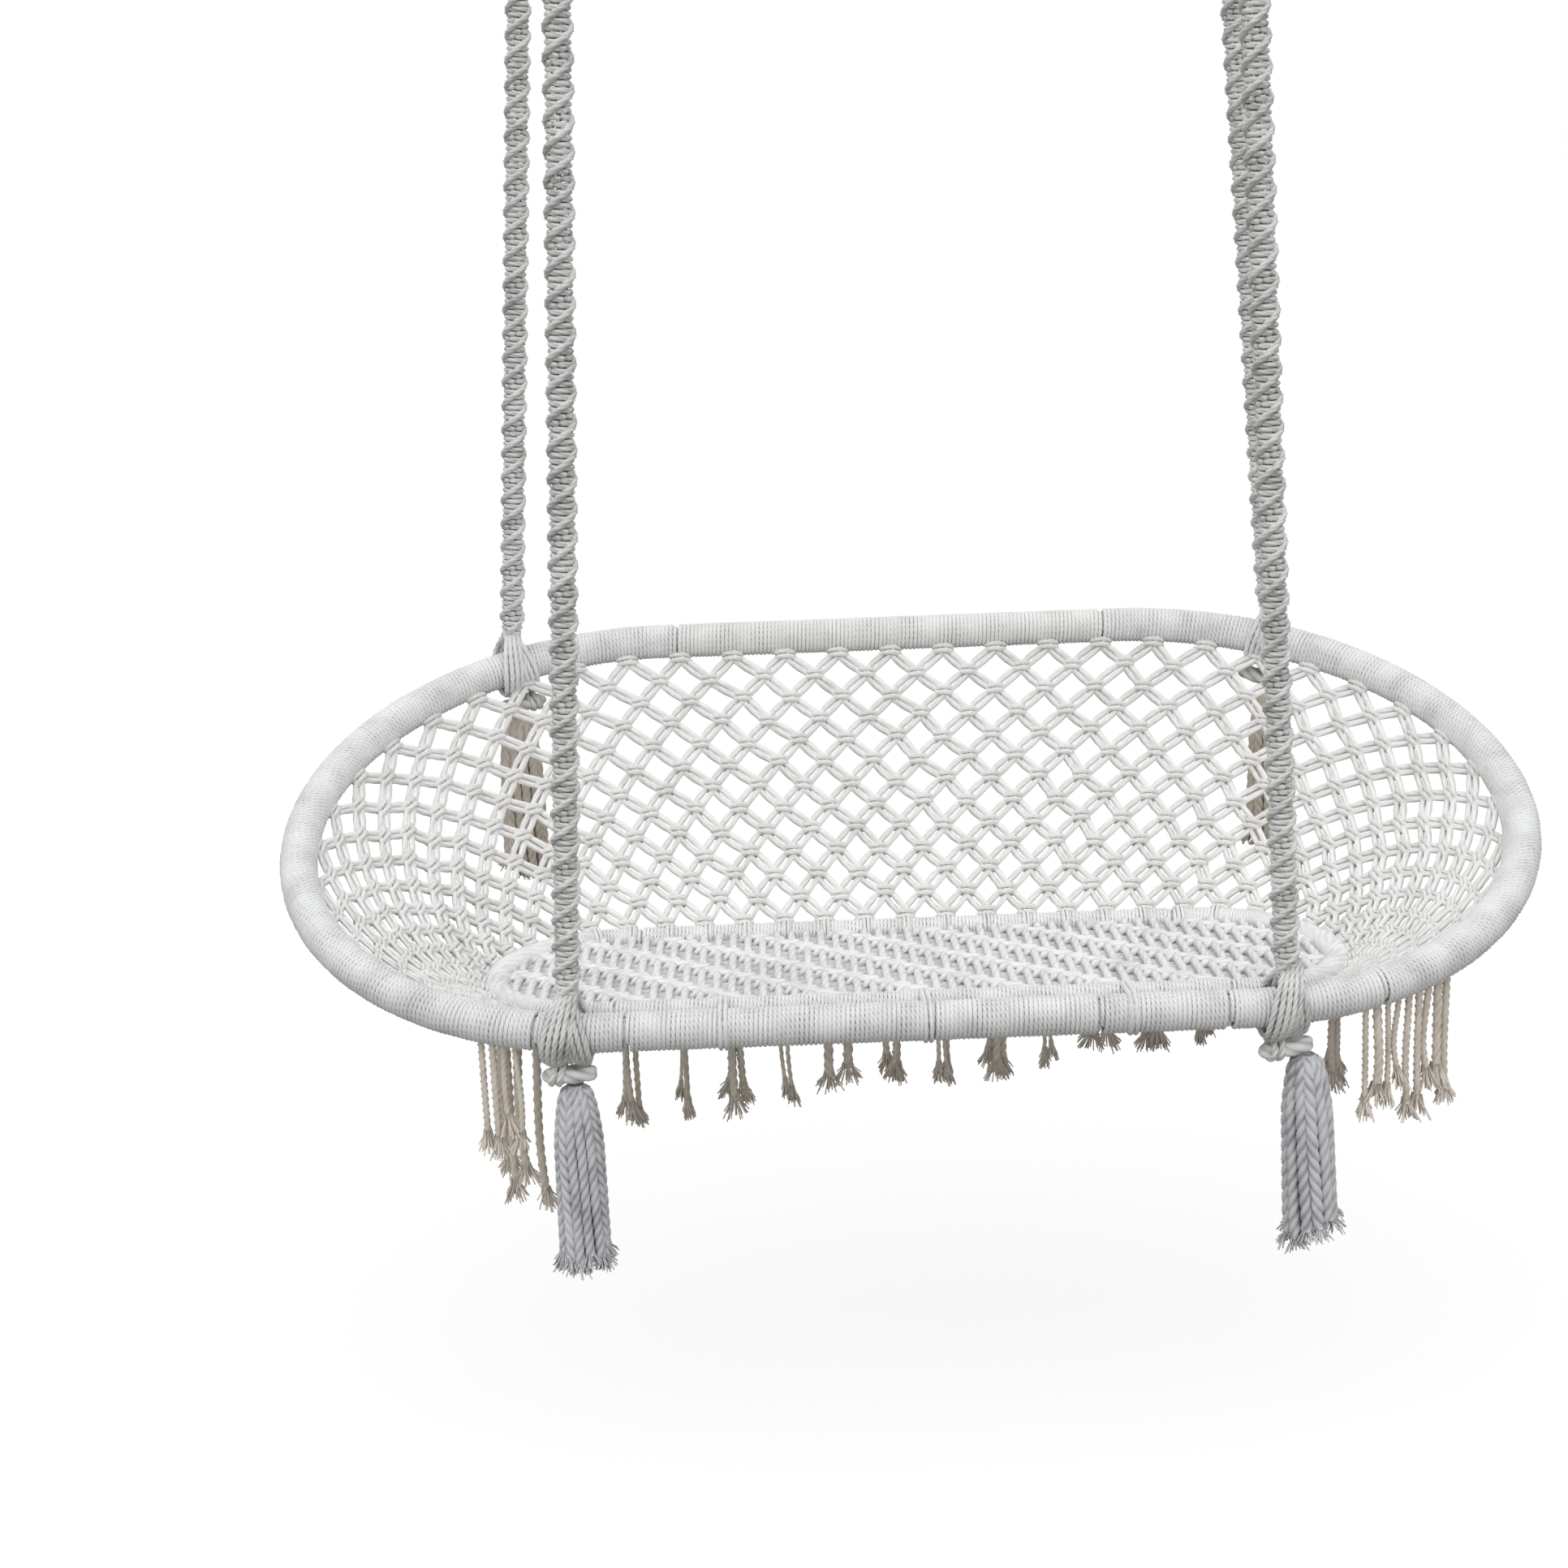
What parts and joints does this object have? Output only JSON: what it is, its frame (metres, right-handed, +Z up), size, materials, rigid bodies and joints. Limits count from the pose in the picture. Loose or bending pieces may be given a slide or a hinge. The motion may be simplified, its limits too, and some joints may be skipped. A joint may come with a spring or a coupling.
{
  "type": "hanging rope hammock bench",
  "caption": "Hanging two-seat rope hammock: an oval rope-wrapped rim, a knotted diamond net back, a woven seat and spiral-knotted hanging ropes with tassels.",
  "frame": {"origin": "midway between the centres of the hanging rings", "axes": "+X to the sitter's left as seen from the front (to the right in the picture), +Y to the back of the seat, +Z up"},
  "size_m": [1.9966, 0.9215, 2.0399],
  "materials": {
    "white_rope": "twisted cotton rope",
    "cream_rope": "twisted cotton cord",
    "grey_rope": "knotted cotton rope",
    "tan_rope": "frayed cotton cord ends",
    "painted_steel": "powder coat",
    "zinc_steel": "zinc plated"
  },
  "bodies": {
    "hanging_rings": {"ring_front_left": "zinc_steel", "ring_front_right": "zinc_steel", "ring_back_left": "zinc_steel", "ring_back_right": "zinc_steel"},
    "front_ropes": {"sinnet_front_left": "grey_rope", "sinnet_front_right": "grey_rope", "sinnet_core_front_left": "cream_rope", "sinnet_core_front_right": "cream_rope", "eye_front_left": "grey_rope", "eye_front_right": "grey_rope"},
    "back_ropes": {"sinnet_back_left": "grey_rope", "sinnet_back_right": "grey_rope", "sinnet_core_back_left": "cream_rope", "sinnet_core_back_right": "cream_rope", "eye_back_left": "grey_rope", "eye_back_right": "grey_rope"},
    "seat": {"rim_tube": "painted_steel", "rim_wrap_front": "white_rope", "rim_wrap_right": "white_rope", "rim_wrap_back": "cream_rope", "rim_wrap_left": "white_rope", "seat_tube": "painted_steel", "seat_wrap_front": "white_rope", "seat_wrap_right": "white_rope", "seat_wrap_back": "white_rope", "seat_wrap_left": "white_rope", "seat_weave": "white_rope", "net_side_left": "cream_rope", "net_side_right": "cream_rope", "net_corner_left": "cream_rope", "net_corner_right": "cream_rope", "net_back_left": "cream_rope", "net_back_right": "cream_rope", "rim_hitch_front_left": "white_rope", "rim_hitch_front_right": "white_rope", "rim_hitch_back_left": "white_rope", "rim_hitch_back_right": "white_rope", "knot_front_left": "grey_rope", "knot_front_right": "grey_rope", "knot_back_left": "grey_rope", "knot_back_right": "grey_rope", "front_lashing_left": "white_rope", "front_lashing_middle": "white_rope", "front_lashing_right": "white_rope"},
    "tassel_front_left": {"tassel_front_left": "grey_rope"},
    "tassel_front_right": {"tassel_front_right": "grey_rope"},
    "tassel_back_left": {"tassel_back_left": "grey_rope"},
    "tassel_back_right": {"tassel_back_right": "grey_rope"},
    "fringe_back": {"fringe_back": "tan_rope"},
    "fringe_left": {"fringe_left": "tan_rope"},
    "fringe_right": {"fringe_right": "tan_rope"}
  },
  "joints": [
    {"name": "front_swing", "type": "hinge", "parent": "hanging_rings", "child": "front_ropes", "pos_m": [0, -0.41807, -0.028], "axis": [1, 0, 0], "range_deg": [-10, 10]},
    {"name": "seat_level", "type": "hinge", "parent": "front_ropes", "child": "seat", "pos_m": [0, -0.41807, -1.5538], "axis": [1, 0, 0], "range_deg": [-10, 10]},
    {"name": "back_swing", "type": "hinge", "parent": "hanging_rings", "child": "back_ropes", "pos_m": [0, 0.36984, -0.028], "axis": [1, 0, 0], "range_deg": [-13.5, 13.5]},
    {"name": "tassel_swing_front_left", "type": "hinge", "parent": "seat", "child": "tassel_front_left", "pos_m": [-0.52516, -0.41813, -1.72792], "axis": [1, 0, 0], "range_deg": [-20, 20]},
    {"name": "tassel_swing_front_right", "type": "hinge", "parent": "seat", "child": "tassel_front_right", "pos_m": [0.55451, -0.41787, -1.72444], "axis": [1, 0, 0], "range_deg": [-20, 20]},
    {"name": "tassel_swing_back_left", "type": "hinge", "parent": "seat", "child": "tassel_back_left", "pos_m": [-0.65643, 0.36886, -1.34392], "axis": [1, 0, 0], "range_deg": [-20, 20]},
    {"name": "tassel_swing_back_right", "type": "hinge", "parent": "seat", "child": "tassel_back_right", "pos_m": [0.65643, 0.36886, -1.34392], "axis": [1, 0, 0], "range_deg": [-20, 20]},
    {"name": "fringe_swing_back", "type": "hinge", "parent": "seat", "child": "fringe_back", "pos_m": [0, 0.09887, -1.65603], "axis": [1, 0, 0], "range_deg": [-20, 20]},
    {"name": "fringe_swing_left", "type": "hinge", "parent": "seat", "child": "fringe_left", "pos_m": [-0.66, -0.12563, -1.64103], "axis": [0, 0.9978, -0.0667], "range_deg": [-10, 10]},
    {"name": "fringe_swing_right", "type": "hinge", "parent": "seat", "child": "fringe_right", "pos_m": [0.66, -0.12563, -1.64103], "axis": [0, 0.9978, -0.0667], "range_deg": [-10, 10]}
  ],
  "couplings": [
    {"joint": "seat_level", "follows": "front_swing", "ratio": -1},
    {"joint": "back_swing", "follows": "front_swing", "ratio": 1.33}
  ]
}
